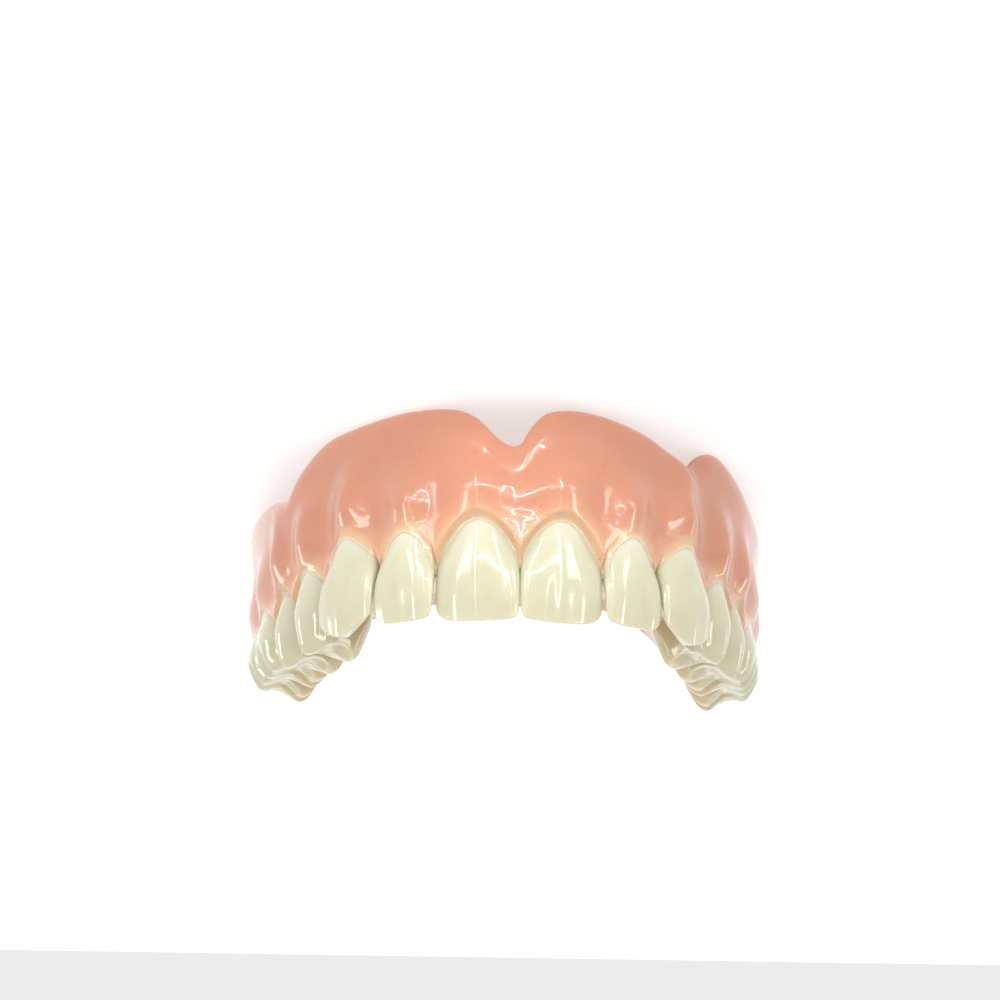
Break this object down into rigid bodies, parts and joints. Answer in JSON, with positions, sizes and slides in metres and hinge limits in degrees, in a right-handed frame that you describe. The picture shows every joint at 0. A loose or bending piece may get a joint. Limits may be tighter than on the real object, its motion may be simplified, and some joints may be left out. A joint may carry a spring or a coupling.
{
  "type": "full upper denture",
  "caption": "Removable full upper denture: pink gum-shaped base with flanges and a palate plate, carrying an arch of ivory teeth from incisors to molars.",
  "frame": {"origin": "below the middle of the denture's box, on the surface that the borders of its flanges rest on", "axes": "+Z from the base to the biting edges, -Y towards the front of the mouth, +X towards the wearer's right side"},
  "size_m": [0.0696, 0.049, 0.0249],
  "materials": {
    "pink_acrylic": "polished, matte on the tissue side",
    "tooth_acrylic": "glossy"
  },
  "bodies": {
    "root": {"denture_base": "pink_acrylic", "central_incisor_right": "tooth_acrylic", "central_incisor_left": "tooth_acrylic", "lateral_incisor_right": "tooth_acrylic", "lateral_incisor_left": "tooth_acrylic", "canine_right": "tooth_acrylic", "canine_left": "tooth_acrylic", "first_premolar_right": "tooth_acrylic", "first_premolar_left": "tooth_acrylic", "second_premolar_right": "tooth_acrylic", "second_premolar_left": "tooth_acrylic", "first_molar_right": "tooth_acrylic", "first_molar_left": "tooth_acrylic", "second_molar_right": "tooth_acrylic", "second_molar_left": "tooth_acrylic"}
  },
  "joints": []
}
